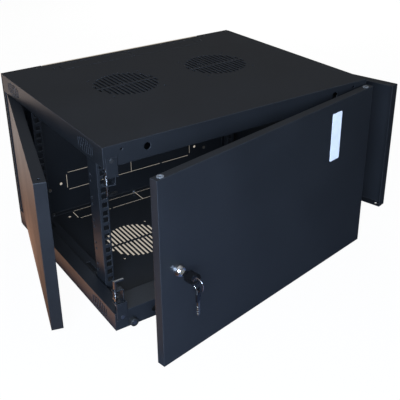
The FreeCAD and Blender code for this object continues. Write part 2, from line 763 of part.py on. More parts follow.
def front_door():
    """Front door pan; its own origin is on the hinge axis at floor level."""
    name = "front_door"
    half = "front_door_thickness / 2"
    body = door_pan(name, "pin_inset - front_door_width", "pin_inset", "-" + half, half,
                    DOOR_LOW, DOOR_HEIGHT, "back")
    holes = sketch_on(body, name + "Bushes", "XY_Plane", DOOR_LOW)
    for across in ("0", "2 * pin_inset - front_door_width"):
        circle(holes, across, "0", "bush_diameter")
    pocket(body, holes, reverse=True)
    lock = sketch_on(body, name + "Lock", "XZ_Plane", half)
    circle(lock, "pin_inset - front_door_width + lock_inset", "lock_rise", "lock_barrel + 0.2")
    pocket(body, lock, "door_sheet")
    return body


def on_front_door(body):
    """Carries a piece drawn in the front door's own frame to the door's place."""
    turn(body, (0, 0, 1), "front_door_angle")
    place(body, PIN_X, PIN_Y)
    return body


node(on_front_door(front_door()), "front_door")


def hinge_bushes():
    """Flanged nylon bushes in both flanges of the front door, at both of its ends."""
    body = new_body("Bush")
    revolve(body, "BushTurned", [
        ("pin_diameter / 2 + running_clearance", "-0.9"), ("bush_flange / 2", "-0.9"),
        ("bush_flange / 2", "0"), ("bush_diameter / 2", "0"), ("bush_diameter / 2", "bush_length"),
        ("pin_diameter / 2 + running_clearance", "bush_length"),
    ])
    spots = []
    for across in ("0", "2 * pin_inset - front_door_width"):
        reach = "(%s)" % across
        east = "%s + %s * cos(front_door_angle)" % (PIN_X, reach)
        north = "%s + %s * sin(front_door_angle)" % (PIN_Y, reach)
        spots.append((east, north, DOOR_LOW, None))
        spots.append((east, north, "%s - %s" % (HEIGHT, DOOR_LOW), ((1, 0, 0), "180")))
    return copies("hinge_bushes", body, spots)


hinge_bushes()

LOCK_X = "(pin_inset - front_door_width + lock_inset)"
DOOR_FACE = "(-front_door_thickness / 2)"


def on_lock(item, out="0", up="0", roll="0", spin="0"):
    """Carries a piece, drawn about the lock's axis with its origin on the door's face, to the
    lock. It is moved out from the face and up, rolled about the lock's axis and spun upright."""
    turned = FreeCAD.Rotation(FreeCAD.Vector(0, 0, 1), size("front_door_angle + " + spin))
    turned = turned.multiply(FreeCAD.Rotation(FreeCAD.Vector(0, 1, 0), size(roll)))
    item.Placement = FreeCAD.Placement(FreeCAD.Vector(), turned)
    back = "(%s - %s)" % (DOOR_FACE, out)
    place(item, "%s + %s * cos(front_door_angle) - %s * sin(front_door_angle)" % (PIN_X, LOCK_X, back),
          "%s + %s * sin(front_door_angle) + %s * cos(front_door_angle)" % (PIN_Y, LOCK_X, back),
          "lock_rise + " + up)
    return item


def turned_piece(name, steps, **spot):
    """Piece turned about the lock's axis; steps are (radius, distance behind the door's face)."""
    body = new_body(name)
    revolve(body, name + "Section", steps, "XY_Plane")
    on_lock(body, **spot)
    return body


def lock_pieces():
    bore = "plug_diameter / 2 + running_clearance"
    node(turned_piece("lock_body", [
        (bore, "-lock_ring_height"), ("plug_diameter / 2 + 1.6", "-lock_ring_height"),
        ("lock_ring / 2 - 2", "-lock_ring_height * 0.8"), ("lock_ring / 2 - 0.6", "-lock_ring_height * 0.45"),
        ("lock_ring / 2", "0"), ("lock_barrel / 2", "0"), ("lock_barrel / 2", "lock_length"), (bore, "lock_length"),
    ]), "lock_body")

    nut = new_body("lock_nut")
    ring = sketch_on(nut, "LockNutRing", "XZ_Plane", "-door_sheet")
    polygon(ring, "0", "0", "lock_barrel * 1.15", 6)
    circle(ring, "0", "0", "lock_barrel + 0.1")
    pad(nut, ring, "4", reverse=True)
    node(on_lock(nut), "lock_nut")

    plug = turned_piece("lock_core", [
        ("0", "-lock_ring_height - 0.4"), ("plug_diameter / 2", "-lock_ring_height - 0.4"),
        ("plug_diameter / 2", "lock_length + 0.3"), ("2.9", "lock_length + 0.3"),
        ("2.9", "lock_length + 2.3"), ("0", "lock_length + 2.3"),
    ], roll="key_turn")
    keyway = sketch_on(plug, "Keyway", "XZ_Plane", "lock_ring_height + 0.4")
    rectangle(keyway, "-key_thickness / 2 - 0.15", "key_thickness / 2 + 0.15",
              "-key_width / 2 - 0.15", "key_width / 2 + 0.15")
    pocket(plug, keyway, "key_blade + 1")
    node(plug, "lock_core")

    # The cam points to the cabinet's side when the key stands upright, which locks the door.
    cam = new_body("lock_cam")
    arm = sketch_on(cam, "CamArm", "XZ_Plane", "-(lock_length + 0.4)")
    outline(arm, [("7", "-7"), ("7", "7"), ("-7", "7"), ("-32", "5"), ("-32", "-5"), ("-7", "-7")])
    circle(arm, "0", "0", "6")
    pad(cam, arm, "1.8", reverse=True)
    node(on_lock(cam, roll="key_turn"), "lock_cam")

    node(turned_piece("cam_screw", [
        ("0", "lock_length + 2.45"), ("4.5", "lock_length + 2.45"),
        ("4.5", "lock_length + 4.2"), ("3.6", "lock_length + 4.8"), ("0", "lock_length + 4.8"),
    ]), "cam_screw")


lock_pieces()


def key_outline(reach):
    """Key blade as one flat profile; 'reach' is how far its shoulder is from the sketch's origin."""
    half = "key_width / 2"
    tip = reach + " - key_blade"
    upper = [(tip, "1.2"), (tip + " + 2", half)]
    for spot, depth in (("4", 1.1), ("8", 0.5), ("12", 1.4), ("16", 0.8)):
        upper.append(("%s + %s" % (tip, spot), half))
        upper.append(("%s + %s + 1" % (tip, spot), "%s - %s" % (half, depth)))
        upper.append(("%s + %s + 2" % (tip, spot), half))
    upper.append((reach, half))
    lower = [(out, "-(" + up + ")") for out, up in reversed(upper)]
    return upper + lower


SHOULDER = "(lock_ring_height + key_shoulder)"
BOW_END = "(%s + 0.1 + bow_length)" % SHOULDER


def key_pieces():
    """Key in the plug: blade along the lock's axis and a moulded bow with a hole for the ring."""
    key = new_body("key")
    blade = sketch_on(key, "KeyBlade", "YZ_Plane")
    outline(blade, [("-(%s)" % out, up) for out, up in key_outline(SHOULDER)])
    pad(key, blade, "key_thickness", both=True)
    node(on_lock(key, roll="key_turn"), "key")

    head = new_body("key_head")
    bow = sketch_on(head, "KeyBow", "YZ_Plane")
    upper = [("0", "4.5"), ("4", "5"), ("8", "bow_height / 2"), ("bow_length - 4", "bow_height / 2"),
             ("bow_length", "bow_height / 2 - 4")]
    lower = [(out, "-(" + up + ")") for out, up in reversed(upper)]
    outline(bow, [("-(%s + 0.1 + %s)" % (SHOULDER, out), up) for out, up in upper + lower])
    circle(bow, "-(%s - bow_hole_margin)" % BOW_END, "0", "bow_hole")
    pad(head, bow, "bow_thickness", both=True)
    node(on_lock(head, roll="key_turn"), "key_head")


key_pieces()

# The ring hangs upright over the rim between the bow's hole and its end.
RIM_OUT = "(%s - (bow_hole_margin - bow_hole / 2) / 2)" % BOW_END
RIM_TOP = "((bow_thickness / 2 + ring_wire / 2 * cos(key_turn)) / sin(key_turn))"
RING_UP = "(%s + ring_play + ring_wire / 2 - ring_radius)" % RIM_TOP
SPARE_UP = "(%s - ring_radius + ring_wire / 2 + spare_play - spare_hole / 2)" % RING_UP


def hanging_pieces():
    """Ring through the bow's hole and the spare key that hangs on it."""
    ring = new_body("key_ring")
    half = "ring_wire / 2"
    section = sketch_on(ring, "KeyRingSection")
    rectangle(section, "-" + half, half, "ring_radius - " + half, "ring_radius + " + half)
    wind = ring.newObject("PartDesign::Revolution", "KeyRingTurn")
    wind.Profile = section
    wind.ReferenceAxis = (section, ["H_Axis"])
    wind.Angle = 360
    node(on_lock(ring, RIM_OUT, RING_UP), "key_ring")

    head = new_body("spare_key_head")
    bow = sketch_on(head, "SpareBow", "XZ_Plane")
    wide = "spare_width / 2"
    outline(bow, [("-4", "5"), ("4", "5"), (wide, "0"), (wide, "-13"), ("4.6", "-17"),
                  ("-4.6", "-17"), ("-(%s)" % wide, "-13"), ("-(%s)" % wide, "0")])
    circle(bow, "0", "0", "spare_hole")
    pad(head, bow, "spare_thickness", both=True)
    node(on_lock(head, RIM_OUT, SPARE_UP, spin="spare_turn"), "spare_key_head")
    spare = new_body("spare_key")
    blade = sketch_on(spare, "SpareBlade", "XZ_Plane")
    outline(blade, [(across, "-17.1 + (%s)" % up) for up, across in key_outline("(0)")])
    pad(spare, blade, "key_thickness", both=True)
    node(on_lock(spare, RIM_OUT, SPARE_UP, spin="spare_turn"), "spare_key")


hanging_pieces()


def side_door(name, side):
    """Side door pan; its own origin is on its hinge axis at floor level."""
    outer = "%d * (ledge_pin_inset - side_door_reveal)" % side
    inner = "%d * (ledge_pin_inset - side_door_reveal - side_door_thickness)" % side
    left, right, opening = (outer, inner, "right") if side < 0 else (inner, outer, "left")
    body = door_pan(name, left, right, "pin_inset - " + SIDE_LENGTH, "pin_inset", SIDE_LOW, SIDE_HEIGHT, opening)
    holes = sketch_on(body, name + "Pins", "XY_Plane", SIDE_LOW)
    for back in ("0", "2 * pin_inset - " + SIDE_LENGTH):
        circle(holes, "0", back, "pin_diameter + 2 * running_clearance")
    pocket(body, holes, reverse=True)
    angle = "left_door_angle" if side < 0 else "right_door_angle"
    turn(body, (0, 0, -side * -1), "%s" % angle)
    place(body, "%d * %s" % (side, SIDE_PIN_X), SIDE_PIN_Y)
    return node(body, name)


SIDES = (("left", -1), ("right", 1))
for word, side in SIDES:
    side_door("side_door_" + word, side)


def side_turn(side):
    """Formula words for a side door's angle as a signed turn about Z."""
    return "(%d * %s)" % (side, "left_door_angle" if side < 0 else "right_door_angle")


def side_hinge_spots(side):
    """Places of a side door's two hinge pins: (across, back, height of the tip, upside down)."""
    across = "%d * %s" % (side, SIDE_PIN_X)
    return [(across, SIDE_PIN_Y, PIN_TIP, False), (across, SIDE_PIN_Y, "%s - %s" % (HEIGHT, PIN_TIP), True)]


def on_side_door(item, side, spot):
    """Turns a piece with its side door and sets it on one of the door's hinge pins."""
    across, back, up, upside_down = spot
    about = FreeCAD.Rotation(FreeCAD.Vector(0, 0, 1), size(side_turn(side)))
    if upside_down:
        about = about.multiply(FreeCAD.Rotation(FreeCAD.Vector(1, 0, 0), 180))
    item.Placement = FreeCAD.Placement(FreeCAD.Vector(), about)
    place(item, across, back, up)


def pin_bracket(word, side):
    """Channel on a side door's sheet that carries a hinge pin between two tabs."""
    piece = new_body("PinBracket" + word)
    plate_face = "(ledge_pin_inset - side_door_reveal - door_sheet)"
    plate = sketch_on(piece, "PinPlate" + word, "XY_Plane", TAB_LOW + " - 4")
    rectangle(plate, "%d * %s" % (side, plate_face), "%d * (%s - bracket_steel)" % (side, plate_face),
              "-" + TAB_HALF, TAB_HALF)
    pad(piece, plate, "%s - %s + 8.5" % (TAB_HIGH, TAB_LOW))
    for label, rise in (("Low", TAB_LOW), ("High", TAB_HIGH)):
        tab = sketch_on(piece, "PinTab" + word + label, "XY_Plane", rise)
        outline(tab, [("%d * %s" % (side, plate_face), "-" + TAB_HALF), ("%d * -4.5" % side, "-4.5"),
                      ("%d * -4.5" % side, "4.5"), ("%d * %s" % (side, plate_face), TAB_HALF)])
        circle(tab, "0", "0", "pin_diameter + 2 * running_clearance")
        pad(piece, tab, "bracket_steel")
    return piece


def side_hardware(word, side):
    piece = pin_bracket(word, side)
    group = doc.addObject("Part::Compound", "side_door_%s_pin_brackets" % word)
    items = []
    for spot, level in zip(side_hinge_spots(side), ("bottom", "top")):
        item = doc.addObject("App::Link", "PinBracket%s%s" % (word, level))
        item.LinkedObject = piece
        on_side_door(item, side, spot)
        items.append(item)
        pin_name = "side_hinge_pin_%s_%s" % (word, level)
        spring_name = "side_hinge_spring_%s_%s" % (word, level)
        pin_body = spring_pin(pin_name, "-Y" if level == "bottom" else "+Y")
        spring_body = spring_sleeve(spring_name, "0")
        on_side_door(pin_body, side, spot)
        on_side_door(spring_body, side, spot)
        node(pin_body, pin_name)
        node(spring_body, spring_name)
    group.Links = items
    node(group, "side_door_%s_pin_brackets" % word)


for word, side in SIDES:
    side_hardware(word, side)


def bumper():
    body = new_body("door_bumper")
    long = "front_door_stand_off - fit_gap"
    revolve(body, "BumperTurned", [
        ("2.3", "0"), ("bumper_diameter / 2", "0"), ("bumper_diameter / 2", long + " - 1.2"),
        ("bumper_diameter / 2 - 1.2", long), ("4.6", long), ("4.6", long + " - 3"), ("2.3", long + " - 3"),
    ])
    turn(body, (1, 0, 0), "90")
    place(body, "-(cabinet_width / 2 - bumper_inset)", FRONT, "bumper_rise")
    node(body, "door_bumper")
    screw = screw_body("bumper_screw", "small_screw", long + " + panel_sheet", "7.6", "2.4", 16)
    turn(screw, (1, 0, 0), "90")
    place(screw, "-(cabinet_width / 2 - bumper_inset)", "%s - (%s - 3)" % (FRONT, long), "bumper_rise")
    node(screw, "bumper_screw")


bumper()

doc.recompute()
for item in doc.Objects:
    if "Invalid" in item.State or "Error" in item.State:
        raise RuntimeError("%s failed: %s" % (item.Name, item.State))
os.makedirs("parts", exist_ok=True)
for item in NODES:
    shape = Part.getShape(item)
    if shape.isNull() or not shape.isValid():
        raise RuntimeError(item.Label + " has no valid shape")
    shape.exportStep("parts/%s.step" % item.Label)
print("%d nodes written" % len(NODES))
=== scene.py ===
import json
from math import cos, pi, radians, sin

import bmesh
import bpy
from mathutils import Matrix, Vector


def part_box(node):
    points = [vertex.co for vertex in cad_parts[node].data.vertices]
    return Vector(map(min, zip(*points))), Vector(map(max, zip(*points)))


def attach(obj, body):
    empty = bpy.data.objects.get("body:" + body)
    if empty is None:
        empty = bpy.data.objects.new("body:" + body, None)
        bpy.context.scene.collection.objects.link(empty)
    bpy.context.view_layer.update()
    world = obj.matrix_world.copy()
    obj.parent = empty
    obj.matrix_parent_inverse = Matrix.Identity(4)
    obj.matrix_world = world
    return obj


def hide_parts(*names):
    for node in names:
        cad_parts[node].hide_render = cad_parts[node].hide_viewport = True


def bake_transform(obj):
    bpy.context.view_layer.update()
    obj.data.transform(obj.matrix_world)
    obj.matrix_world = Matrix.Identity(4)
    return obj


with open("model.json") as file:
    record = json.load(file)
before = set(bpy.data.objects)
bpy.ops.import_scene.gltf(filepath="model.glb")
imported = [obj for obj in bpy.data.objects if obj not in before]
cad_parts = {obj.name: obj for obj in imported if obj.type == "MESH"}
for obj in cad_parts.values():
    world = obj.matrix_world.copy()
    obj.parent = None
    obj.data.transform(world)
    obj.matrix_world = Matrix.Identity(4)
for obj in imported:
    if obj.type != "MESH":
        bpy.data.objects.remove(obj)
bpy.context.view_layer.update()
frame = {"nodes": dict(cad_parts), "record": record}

bl_info = {
    "name": "Wall cabinet looks",
    "version": (1, 0, 0),
    "blender": (4, 5, 0),
    "location": "3D View > Sidebar > Cabinet",
    "description": "Finishes, pin springs, key ring, badge and studio for a wall mount network cabinet",
    "category": "Object",
}

MM = 0.001


# ---------------------------------------------------------------- settings

class CabinetFinish(bpy.types.PropertyGroup):
    """Colours and surface sizes of the cabinet's finishes."""

    coat_color: bpy.props.FloatVectorProperty(
        name="Coat colour", description="Charcoal powder coat on all sheet metal",
        subtype="COLOR", size=3, default=(0.0135, 0.0145, 0.0165), min=0, max=1)
    coat_roughness: bpy.props.FloatProperty(
        name="Coat roughness", description="Satin sheen of the powder coat", default=0.38, min=0, max=1)
    grain_size: bpy.props.FloatProperty(
        name="Grain size", description="Size of the powder coat's fine texture",
        subtype="DISTANCE", default=0.9 * MM)
    fold_radius: bpy.props.FloatProperty(
        name="Fold radius", description="Outer radius of the folded edges",
        subtype="DISTANCE", default=2.0 * MM)
    # The two rim settings draw a painted highlight: the coat is paler along sharp edges and folds, in place
    # of the light they catch.
    highlight_rim_width: bpy.props.FloatProperty(
        name="Rim width", description="Width of the thin, paler coat on sharp edges and folds",
        subtype="DISTANCE", default=0.8 * MM)
    highlight_rim_lift: bpy.props.FloatProperty(
        name="Rim lift", description="How much paler the coat is there", default=4.0)
    zinc_color: bpy.props.FloatVectorProperty(
        name="Zinc colour", description="Bright zinc plate on screws, nuts, bolts and the lock's cam",
        subtype="COLOR", size=3, default=(0.36, 0.36, 0.36), min=0, max=1)
    steel_color: bpy.props.FloatVectorProperty(
        name="Steel colour", description="Dark oiled steel of the pins and their springs",
        subtype="COLOR", size=3, default=(0.34, 0.34, 0.34), min=0, max=1)
    chrome_color: bpy.props.FloatVectorProperty(
        name="Chrome colour", description="Polished plate on the lock and the key ring",
        subtype="COLOR", size=3, default=(0.72, 0.72, 0.73), min=0, max=1)
    nylon_color: bpy.props.FloatVectorProperty(
        name="Nylon colour", description="Grey nylon of the door's bushes",
        subtype="COLOR", size=3, default=(0.16, 0.16, 0.16), min=0, max=1)


class CabinetHardware(bpy.types.PropertyGroup):
    """Sizes of the small pieces that are modelled here."""

    spring_wire: bpy.props.FloatProperty(
        name="Spring wire", description="Wire diameter of the pin springs",
        subtype="DISTANCE", default=0.9 * MM)
    spring_turns: bpy.props.IntProperty(
        name="Spring turns", description="Turns of each pin spring", default=8, min=2)
    ring_wire: bpy.props.FloatVectorProperty(
        name="Ring wire", description="Width and thickness of the split ring's flat wire",
        subtype="XYZ_LENGTH", size=2, default=(0.53 * MM, 1.6 * MM))
    badge_width: bpy.props.FloatProperty(
        name="Badge width", description="Width of the blank badge on the door",
        subtype="DISTANCE", default=27 * MM)
    badge_height: bpy.props.FloatProperty(
        name="Badge height", description="Height of the blank badge on the door",
        subtype="DISTANCE", default=90 * MM)


class CabinetStudio(bpy.types.PropertyGroup):
    """Camera and light."""

    window_power: bpy.props.FloatProperty(
        name="Window power", description="Soft cool light from the front left, in watts", default=50)
    ceiling_power: bpy.props.FloatProperty(
        name="Ceiling power", description="Soft neutral light from above, in watts", default=3)
    inside_power: bpy.props.FloatProperty(
        name="Inside power", description="Light that the open sides let into the bay, in watts", default=0.35)
    ambient: bpy.props.FloatProperty(
        name="Ambient", description="Even light of the room on matt surfaces", default=0.35)
    room_dim: bpy.props.FloatProperty(
        name="Room, low", description="Brightness of the room's lower part in reflections", default=0.05)
    room_bright: bpy.props.FloatProperty(
        name="Room, high", description="Brightness of the room's upper part in reflections", default=0.35)
    window_color: bpy.props.FloatVectorProperty(
        name="Window colour", description="Colour of the window's light on the floor",
        subtype="COLOR", size=3, default=(0.34, 0.5, 1.0), min=0, max=1)
    pool_place: bpy.props.FloatVectorProperty(
        name="Pool place", description="Middle of the window's light on the floor",
        subtype="XYZ", size=3, default=(-0.5, -1.1, 0))
    pool_strength: bpy.props.FloatProperty(
        name="Pool strength", description="Brightness at the middle of that light", default=6.5)
    pool_fade: bpy.props.FloatProperty(
        name="Pool fade", description="How quickly it fades, per metre", default=4)
    pool_limit: bpy.props.FloatProperty(
        name="Pool limit", description="Greatest brightness in reflections", default=6)
    table_color: bpy.props.FloatVectorProperty(
        name="Table colour", description="Warm table at the left, in reflections",
        subtype="COLOR", size=3, default=(1.0, 0.55, 0.36), min=0, max=1)
    table_strength: bpy.props.FloatProperty(
        name="Table strength", description="Brightness of the table in reflections", default=1.5)
    wall_color: bpy.props.FloatVectorProperty(
        name="Wall colour", description="Dark wall behind the holes for its screws",
        subtype="COLOR", size=3, default=(0.02, 0.02, 0.02), min=0, max=1)
    behind_strength: bpy.props.FloatProperty(
        name="Behind", description="Brightness of the floor behind the cabinet in reflections", default=0.6)
    back_power: bpy.props.FloatProperty(
        name="Back power", description="Soft light from the back right, in watts", default=26)
    card_color: bpy.props.FloatVectorProperty(
        name="Card colour", description="Warm paper that shows through the vents and slots",
        subtype="COLOR", size=3, default=(0.5, 0.45, 0.38), min=0, max=1)

    camera_place: bpy.props.FloatVectorProperty(
        name="Camera place", description="Camera position in the cabinet's frame",
        subtype="XYZ", size=3, default=(-0.6714, -1.0852, 0.7558))
    camera_pitch: bpy.props.FloatProperty(
        name="Camera pitch", description="How far the camera looks down", subtype="ANGLE", default=0.4572)
    camera_turn: bpy.props.FloatProperty(
        name="Camera turn", description="Heading, from the back towards the right",
        subtype="ANGLE", default=0.55)
    camera_roll: bpy.props.FloatProperty(
        name="Camera roll", description="Roll about the line of sight", subtype="ANGLE", default=-0.0264)
    camera_lens: bpy.props.FloatProperty(
        name="Lens", description="Focal length on a 36 mm sensor, in millimetres", default=63.52)
    camera_shift: bpy.props.FloatVectorProperty(
        name="Shift", description="Lens shift that frames the cabinet", size=2, default=(0.0537, -0.0618))


# ---------------------------------------------------------------- shader graph

class Wire:
    """A node's output that takes part in plain arithmetic."""

    def __init__(self, graph, socket):
        self.graph = graph
        self.socket = socket

    def _math(self, operation, first, second):
        return self.graph.node("ShaderNodeMath", {"operation": operation}, {0: first, 1: second})

    def __sub__(self, other):
        return self._math("SUBTRACT", self, other)

    def __rsub__(self, other):
        return self._math("SUBTRACT", other, self)

    def __mul__(self, other):
        return self._math("MULTIPLY", self, other)

    __rmul__ = __mul__


class Graph:
    """Node tree of a material or world, with one method that makes every node."""

    def __init__(self, owner, output="ShaderNodeOutputMaterial"):
        owner.use_nodes = True
        self.owner = owner
        self.tree = owner.node_tree
        self.tree.nodes.clear()
        self.output = self.tree.nodes.new(output)

    def node(self, kind, settings=None, sockets=None, output=0):
        made = self.tree.nodes.new(kind)
        for name, value in (settings or {}).items():
            setattr(made, name, value)
        for name, value in (sockets or {}).items():
            self.feed(made.inputs[name], value)
        return Wire(self, made.outputs[output])

    def feed(self, socket, value):
        if isinstance(value, Wire):
            self.tree.links.new(value.socket, socket)
        elif socket.type == "RGBA":
            socket.default_value = (*value, 1)
        else:
            socket.default_value = value

    def place(self):
        return self.node("ShaderNodeTexCoord", output="Object")

    def noise(self, scale, detail=2.0):
        return self.node("ShaderNodeTexNoise", None,
                         {"Vector": self.place(), "Scale": scale, "Detail": detail})

    def remap(self, value, low, high, new_low, new_high):
        return self.node("ShaderNodeMapRange", None, {
            "Value": value, "From Min": low, "From Max": high, "To Min": new_low, "To Max": new_high})

    def least(self, first, second):
        return self.node("ShaderNodeMath", {"operation": "MINIMUM"}, {0: first, 1: second})

    def blend(self, factor, first, second):
        """Mix of two colours."""
        return self.node("ShaderNodeMix", {"data_type": "RGBA"}, {0: factor, 6: first, 7: second}, output=2)

    def bump(self, height, strength, distance, normal):
        return self.node("ShaderNodeBump", None, {
            "Height": height, "Strength": strength, "Distance": distance, "Normal": normal})

    def rounded(self, radius):
        """Normal that rounds sharp edges by a radius."""
        return self.node("ShaderNodeBevel", {"samples": 6}, {"Radius": radius})

    def ray(self, kind):
        """1 for one kind of ray, such as 'Camera', and 0 for the others."""
        return self.node("ShaderNodeLightPath", output="Is %s Ray" % kind)

    def either(self, factor, first, second):
        """Mix of two shaders."""
        return self.node("ShaderNodeMixShader", None, {0: factor, 1: first, 2: second})

    def finish(self, shader):
        self.tree.links.new(shader.socket, self.output.inputs["Surface"])
        return self.owner


# ---------------------------------------------------------------- finishes

# Noise scales are per metre.
COAT_CLOUD = 9.0
METAL_CLOUD = 180.0
METAL_SCRATCH = 1500.0
PLASTIC_CLOUD = 120.0
CLOUD_RANGE = (0.3, 0.7)    # the middle of a noise's values, where most of them lie
SPECK_RANGE = (0.35, 0.75)
TONE_RANGE = (0.75, 1.35)
COAT_SHADES = (0.8, 1.25)   # darkest and lightest coat, as shares of its colour
HIGHLIGHT_RIM_TURN = (0.99, 0.8)      # cosine of the edge's turn where the painted highlight rim starts and is full
PEEL = (0.28, 0.10, 0.5 * MM)   # scale over grain size, strength and height
GRAIN = (0.22, 0.25 * MM)   # strength and height
COAT_SPECULAR = 0.35
METAL_FOLD = 0.3 * MM

NICKEL = (0.58, 0.55, 0.47)
RUBBER = (0.012, 0.012, 0.012)
KEY_PLASTIC = (0.003, 0.003, 0.0035)
BADGE_PALE = (0.72, 0.73, 0.78)


def powder_coat(name, finish, lift=1.0):
    """Fine textured charcoal powder coat with faint clouding and soft folds, and a painted highlight: a paler
    rim on sharp edges that stands in for the light they catch."""
    graph = Graph(bpy.data.materials.new(name))
    cloud = graph.noise(COAT_CLOUD, 3.0)
    tone = graph.remap(cloud, *CLOUD_RANGE, 0.88, 1.12)
    speck = graph.noise(1 / finish.grain_size, 1.0)
    fleck = graph.remap(speck, *SPECK_RANGE, 0.85, 1.2)
    dark, light = (tuple(channel * shade * lift for channel in finish.coat_color)
                   for shade in COAT_SHADES)
    coat = graph.blend(graph.remap(tone * fleck, *TONE_RANGE, 0, 1), dark, light)
    # Painted highlight: the coat is drawn paler in a thin rim where the rounded normal turns away from the
    # flat one.
    flat = graph.node("ShaderNodeNewGeometry", output="Normal")
    highlight_rim_facing = graph.node("ShaderNodeVectorMath", {"operation": "DOT_PRODUCT"},
                        {0: graph.rounded(finish.highlight_rim_width), 1: flat}, output="Value")
    rim_highlight_color = tuple(channel * finish.highlight_rim_lift for channel in finish.coat_color)
    color = graph.blend(graph.remap(highlight_rim_facing, *HIGHLIGHT_RIM_TURN, 0, 1), coat, rim_highlight_color)
    sheen = graph.remap(cloud, *CLOUD_RANGE, finish.coat_roughness - 0.03, finish.coat_roughness + 0.04)
    folds = graph.rounded(finish.fold_radius)
    scale, strength, height = PEEL
    peel = graph.bump(graph.noise(scale / finish.grain_size), strength, height, folds)
    grain = graph.bump(speck, *GRAIN, peel)
    return graph.finish(graph.node("ShaderNodeBsdfPrincipled", None, {
        "Base Color": color, "Roughness": sheen, "Normal": grain,
        "Specular IOR Level": COAT_SPECULAR}))


def plated(name, color, roughness):
    """Plated metal with faint cloudy wear."""
    graph = Graph(bpy.data.materials.new(name))
    cloud = graph.noise(METAL_CLOUD, 4.0)
    worn = tuple(channel * 0.8 for channel in color)
    scratched = graph.bump(graph.noise(METAL_SCRATCH), 0.05, 0.1 * MM, graph.rounded(METAL_FOLD))
    return graph.finish(graph.node("ShaderNodeBsdfPrincipled", None, {
        "Base Color": graph.blend(cloud, worn, tuple(color)),
        "Metallic": 1.0,
        "Roughness": graph.remap(cloud, 0.2, 0.8, roughness, roughness + 0.12),
        "Normal": scratched,
    }))


def moulded(name, color, roughness, fold=0.6 * MM, grain=900.0, depth=0.12):
    """Moulded plastic or rubber with a fine spark-eroded texture."""
    graph = Graph(bpy.data.materials.new(name))
    cloud = graph.noise(PLASTIC_CLOUD)
    low = tuple(channel * 0.88 for channel in color)
    high = tuple(channel * 1.12 for channel in color)
    return graph.finish(graph.node("ShaderNodeBsdfPrincipled", None, {
        "Base Color": graph.blend(cloud, low, high),
        "Roughness": graph.remap(cloud, *CLOUD_RANGE, roughness, roughness + 0.08),
        "Normal": graph.bump(graph.noise(grain), depth, 0.15 * MM, graph.rounded(fold)),
    }))


FINISHES = {}


def make_finishes():
    finish = bpy.context.scene.cabinet_finish
    FINISHES.update({
        "black_powder_coat": powder_coat("PowderCoat", finish),
        # The rails get the same coat drawn 1.15 times paler, a lit copy of it: painted light on the rails.
        "rail_powder_coat": powder_coat("RailCoat", finish, 1.15),
        "zinc_plate": plated("ZincPlate", finish.zinc_color, 0.3),
        "dark_steel": plated("DarkSteel", finish.steel_color, 0.22),
        "chrome_plate": plated("ChromePlate", finish.chrome_color, 0.12),
        "brass_plate": plated("KeyNickel", NICKEL, 0.2),
        "black_rubber": moulded("BlackRubber", RUBBER, 0.6),
        "black_plastic": moulded("KeyPlastic", KEY_PLASTIC, 0.24),
        "white_nylon": moulded("NaturalNylon", finish.nylon_color, 0.45, 0.4 * MM, 500.0, 0.05),
        "label_plate": moulded("LabelPlate", BADGE_PALE, 0.35, 0.3 * MM, 300.0, 0.03),
    })


def slot_of(node):
    return next(row["material_slot"] for row in frame["record"]["subparts"] if row["node"] == node)


# ---------------------------------------------------------------- mesh helpers

def piece_from(name, bm, body, slot, smooth=True):
    """Object from a finished bmesh, riding on a CAD body."""
    bmesh.ops.recalc_face_normals(bm, faces=bm.faces)
    mesh = bpy.data.meshes.new(name)
    bm.to_mesh(mesh)
    bm.free()
    for face in mesh.polygons:
        face.use_smooth = smooth
    piece = bpy.data.objects.new(name, mesh)
    bpy.context.collection.objects.link(piece)
    mesh.materials.append(FINISHES[slot])
    if body:
        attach(piece, body)
    return piece


def bevel_edges(bm, edges, width, segments=2):
    bmesh.ops.bevel(bm, geom=edges, offset=width, offset_type="OFFSET", segments=segments,
                    profile=0.5, affect="EDGES", material=-1, clamp_overlap=True)


def sharp_edges(bm, angle=0.6):
    return [edge for edge in bm.edges if len(edge.link_faces) == 2 and edge.calc_face_angle() > angle]


# ---------------------------------------------------------------- pieces

class CABINET_OT_finishes(bpy.types.Operator):
    """Gives every CAD node its finish"""

    bl_idname = "cabinet.finishes"
    bl_label = "Finish the sheet metal and hardware"

    def execute(self, context):
        make_finishes()
        for node, thing in frame["nodes"].items():
            finish = FINISHES[slot_of(node)]
            if not thing.data.materials:
                thing.data.materials.append(finish)
            for slot in thing.material_slots:
                slot.material = finish
        return {"FINISHED"}


COIL_SIDES = 8    # of the wire's section
COIL_STEPS = 14   # per turn
RING_SIDES = 10
RING_STEPS = 40
RING_TURNS = 2


def coil(name, node, wire, turns):
    """Coil spring in the space of its CAD sleeve."""
    low, high = (Vector(corner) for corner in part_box(node))
    centre = (low + high) / 2
    outer = (high.x - low.x) / 2
    bm = bmesh.new()
    start = Matrix.Translation((centre.x + outer - wire / 2, centre.y, low.z + wire / 2))
    ring = bmesh.ops.create_circle(bm, segments=COIL_SIDES, radius=wire / 2,
                                   matrix=start @ Matrix.Rotation(pi / 2, 4, "X"))
    rise = (high.z - low.z - wire) / (turns * COIL_STEPS)
    bmesh.ops.spin(bm, geom=ring["verts"] + bm.edges[:], cent=centre, axis=(0, 0, 1),
                   dvec=(0, 0, rise), angle=2 * pi * turns, steps=turns * COIL_STEPS)
    bmesh.ops.holes_fill(bm, edges=[edge for edge in bm.edges if edge.is_boundary], sides=0)
    piece = piece_from(name, bm, None, "dark_steel")
    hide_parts(node)
    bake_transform(piece)


